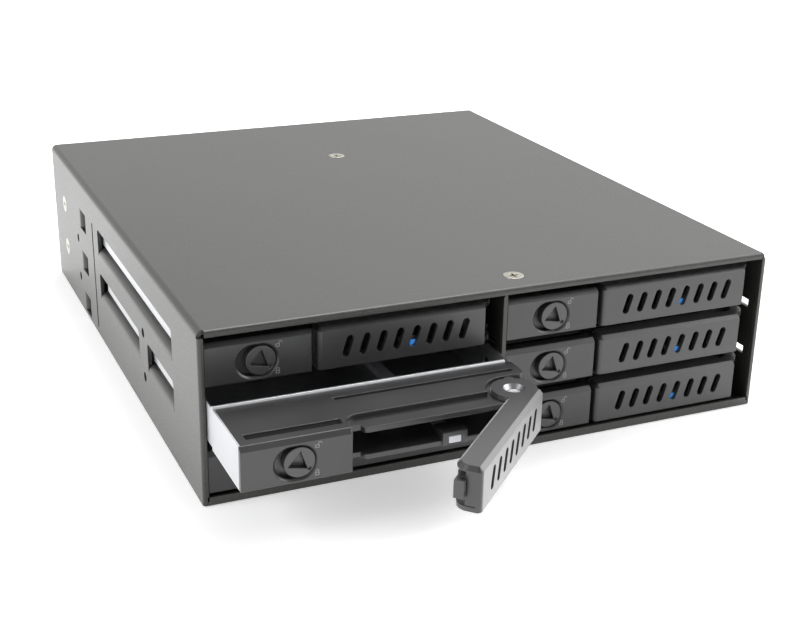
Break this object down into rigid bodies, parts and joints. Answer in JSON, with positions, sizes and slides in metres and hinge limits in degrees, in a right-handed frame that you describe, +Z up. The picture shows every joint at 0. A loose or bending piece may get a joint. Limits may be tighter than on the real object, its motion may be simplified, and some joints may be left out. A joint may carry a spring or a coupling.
{
  "type": "hot swap drive cage",
  "caption": "Steel bay cage holding small drives in slide-out trays with swing levers, key-lock buttons, a backplane and rear fans.",
  "frame": {"origin": "centre of the cage's underside, without the pulled-out tray", "axes": "+X to the right seen from the front, +Y into the cage towards its back, +Z up"},
  "size_m": [0.146, 0.2146, 0.0413],
  "materials": {
    "cage_coat": "fine textured powder coat",
    "bright_sheet": "bright bare sheet",
    "front_plastic": "satin paint over moulding",
    "lever_plastic": "fine satin",
    "disc_plastic": "satin",
    "clear_pipe": "clear, frosted end",
    "black_plastic": "moulded",
    "circuit_board": "solder mask",
    "lamp_lens": "diffused lens",
    "screw_steel": "zinc plated",
    "spring_steel": "bare spring steel"
  },
  "bodies": {
    "cage": {"cover": "cage_coat", "bottom_plate": "cage_coat", "centre_wall": "cage_coat", "backplane_board": "circuit_board", "drive_sockets": "black_plastic", "status_leds": "lamp_lens", "rear_ports": "black_plastic", "rear_panel": "cage_coat", "fan_frames": "black_plastic", "screws": "screw_steel"},
    "fan_wheel_left": {"fan_rotor_left": "black_plastic"},
    "fan_wheel_right": {"fan_rotor_right": "black_plastic"},
    "left_bottom_tray": {"left_bottom_carrier": "bright_sheet", "left_bottom_front": "front_plastic", "left_bottom_light_pipe": "clear_pipe", "left_bottom_pivot_pin": "screw_steel", "left_bottom_latch_spring": "spring_steel"},
    "left_bottom_handle": {"left_bottom_lever": "lever_plastic"},
    "left_bottom_catch": {"left_bottom_latch_slider": "black_plastic"},
    "left_bottom_button": {"left_bottom_lock_disc": "disc_plastic"},
    "left_middle_tray": {"left_middle_carrier": "bright_sheet", "left_middle_front": "front_plastic", "left_middle_light_pipe": "clear_pipe", "left_middle_pivot_pin": "screw_steel", "left_middle_latch_spring": "spring_steel"},
    "left_middle_handle": {"left_middle_lever": "lever_plastic"},
    "left_middle_catch": {"left_middle_latch_slider": "black_plastic"},
    "left_middle_button": {"left_middle_lock_disc": "disc_plastic"},
    "left_top_tray": {"left_top_carrier": "bright_sheet", "left_top_front": "front_plastic", "left_top_light_pipe": "clear_pipe", "left_top_pivot_pin": "screw_steel", "left_top_latch_spring": "spring_steel"},
    "left_top_handle": {"left_top_lever": "lever_plastic"},
    "left_top_catch": {"left_top_latch_slider": "black_plastic"},
    "left_top_button": {"left_top_lock_disc": "disc_plastic"},
    "right_bottom_tray": {"right_bottom_carrier": "bright_sheet", "right_bottom_front": "front_plastic", "right_bottom_light_pipe": "clear_pipe", "right_bottom_pivot_pin": "screw_steel", "right_bottom_latch_spring": "spring_steel"},
    "right_bottom_handle": {"right_bottom_lever": "lever_plastic"},
    "right_bottom_catch": {"right_bottom_latch_slider": "black_plastic"},
    "right_bottom_button": {"right_bottom_lock_disc": "disc_plastic"},
    "right_middle_tray": {"right_middle_carrier": "bright_sheet", "right_middle_front": "front_plastic", "right_middle_light_pipe": "clear_pipe", "right_middle_pivot_pin": "screw_steel", "right_middle_latch_spring": "spring_steel"},
    "right_middle_handle": {"right_middle_lever": "lever_plastic"},
    "right_middle_catch": {"right_middle_latch_slider": "black_plastic"},
    "right_middle_button": {"right_middle_lock_disc": "disc_plastic"},
    "right_top_tray": {"right_top_carrier": "bright_sheet", "right_top_front": "front_plastic", "right_top_light_pipe": "clear_pipe", "right_top_pivot_pin": "screw_steel", "right_top_latch_spring": "spring_steel"},
    "right_top_handle": {"right_top_lever": "lever_plastic"},
    "right_top_catch": {"right_top_latch_slider": "black_plastic"},
    "right_top_button": {"right_top_lock_disc": "disc_plastic"}
  },
  "joints": [
    {"name": "fan_left_spin", "type": "hinge", "parent": "cage", "child": "fan_wheel_left", "pos_m": [-0.0505, 0.07325, 0.02065], "axis": [0, 1, 0], "continuous": true},
    {"name": "fan_right_spin", "type": "hinge", "parent": "cage", "child": "fan_wheel_right", "pos_m": [0.0505, 0.07325, 0.02065], "axis": [0, 1, 0], "continuous": true},
    {"name": "left_bottom_tray_slide", "type": "slide", "parent": "cage", "child": "left_bottom_tray", "axis": [0, -1, 0], "range_m": [0, 0.115]},
    {"name": "left_bottom_lever_swing", "type": "hinge", "parent": "left_bottom_tray", "child": "left_bottom_handle", "pos_m": [-0.00685, -0.07615, 0.00755], "axis": [0, 0, 1], "range_deg": [0, 50]},
    {"name": "left_bottom_latch_slide", "type": "slide", "parent": "left_bottom_tray", "child": "left_bottom_catch", "axis": [-1, 0, 0], "range_m": [0, 0.0015], "stiffness_N_per_m": 300, "springref_m": -0.002, "deforming": ["left_bottom_latch_spring"]},
    {"name": "left_bottom_lock_turn", "type": "hinge", "parent": "left_bottom_catch", "child": "left_bottom_button", "pos_m": [-0.0589, -0.07975, 0.00705], "axis": [0, -1, 0], "range_deg": [0, 90]},
    {"name": "left_middle_tray_slide", "type": "slide", "parent": "cage", "child": "left_middle_tray", "axis": [0, -1, 0], "range_m": [-0.0244, 0.0906]},
    {"name": "left_middle_lever_swing", "type": "hinge", "parent": "left_middle_tray", "child": "left_middle_handle", "pos_m": [-0.00685, -0.10055, 0.0203], "axis": [0, 0, 1], "range_deg": [-44.4, 5.6]},
    {"name": "left_middle_latch_slide", "type": "slide", "parent": "left_middle_tray", "child": "left_middle_catch", "axis": [-1, 0, 0], "range_m": [0, 0.0015], "stiffness_N_per_m": 300, "springref_m": -0.002, "deforming": ["left_middle_latch_spring"]},
    {"name": "left_middle_lock_turn", "type": "hinge", "parent": "left_middle_catch", "child": "left_middle_button", "pos_m": [-0.0589, -0.10415, 0.0198], "axis": [0, -1, 0], "range_deg": [0, 90]},
    {"name": "left_top_tray_slide", "type": "slide", "parent": "cage", "child": "left_top_tray", "axis": [0, -1, 0], "range_m": [0, 0.115]},
    {"name": "left_top_lever_swing", "type": "hinge", "parent": "left_top_tray", "child": "left_top_handle", "pos_m": [-0.00685, -0.07615, 0.03305], "axis": [0, 0, 1], "range_deg": [0, 50]},
    {"name": "left_top_latch_slide", "type": "slide", "parent": "left_top_tray", "child": "left_top_catch", "axis": [-1, 0, 0], "range_m": [0, 0.0015], "stiffness_N_per_m": 300, "springref_m": -0.002, "deforming": ["left_top_latch_spring"]},
    {"name": "left_top_lock_turn", "type": "hinge", "parent": "left_top_catch", "child": "left_top_button", "pos_m": [-0.0589, -0.07975, 0.03255], "axis": [0, -1, 0], "range_deg": [0, 90]},
    {"name": "right_bottom_tray_slide", "type": "slide", "parent": "cage", "child": "right_bottom_tray", "axis": [0, -1, 0], "range_m": [0, 0.115]},
    {"name": "right_bottom_lever_swing", "type": "hinge", "parent": "right_bottom_tray", "child": "right_bottom_handle", "pos_m": [0.06535, -0.07615, 0.00755], "axis": [0, 0, 1], "range_deg": [0, 50]},
    {"name": "right_bottom_latch_slide", "type": "slide", "parent": "right_bottom_tray", "child": "right_bottom_catch", "axis": [-1, 0, 0], "range_m": [0, 0.0015], "stiffness_N_per_m": 300, "springref_m": -0.002, "deforming": ["right_bottom_latch_spring"]},
    {"name": "right_bottom_lock_turn", "type": "hinge", "parent": "right_bottom_catch", "child": "right_bottom_button", "pos_m": [0.0133, -0.07975, 0.00705], "axis": [0, -1, 0], "range_deg": [0, 90]},
    {"name": "right_middle_tray_slide", "type": "slide", "parent": "cage", "child": "right_middle_tray", "axis": [0, -1, 0], "range_m": [0, 0.115]},
    {"name": "right_middle_lever_swing", "type": "hinge", "parent": "right_middle_tray", "child": "right_middle_handle", "pos_m": [0.06535, -0.07615, 0.0203], "axis": [0, 0, 1], "range_deg": [0, 50]},
    {"name": "right_middle_latch_slide", "type": "slide", "parent": "right_middle_tray", "child": "right_middle_catch", "axis": [-1, 0, 0], "range_m": [0, 0.0015], "stiffness_N_per_m": 300, "springref_m": -0.002, "deforming": ["right_middle_latch_spring"]},
    {"name": "right_middle_lock_turn", "type": "hinge", "parent": "right_middle_catch", "child": "right_middle_button", "pos_m": [0.0133, -0.07975, 0.0198], "axis": [0, -1, 0], "range_deg": [0, 90]},
    {"name": "right_top_tray_slide", "type": "slide", "parent": "cage", "child": "right_top_tray", "axis": [0, -1, 0], "range_m": [0, 0.115]},
    {"name": "right_top_lever_swing", "type": "hinge", "parent": "right_top_tray", "child": "right_top_handle", "pos_m": [0.06535, -0.07615, 0.03305], "axis": [0, 0, 1], "range_deg": [0, 50]},
    {"name": "right_top_latch_slide", "type": "slide", "parent": "right_top_tray", "child": "right_top_catch", "axis": [-1, 0, 0], "range_m": [0, 0.0015], "stiffness_N_per_m": 300, "springref_m": -0.002, "deforming": ["right_top_latch_spring"]},
    {"name": "right_top_lock_turn", "type": "hinge", "parent": "right_top_catch", "child": "right_top_button", "pos_m": [0.0133, -0.07975, 0.03255], "axis": [0, -1, 0], "range_deg": [0, 90]}
  ]
}
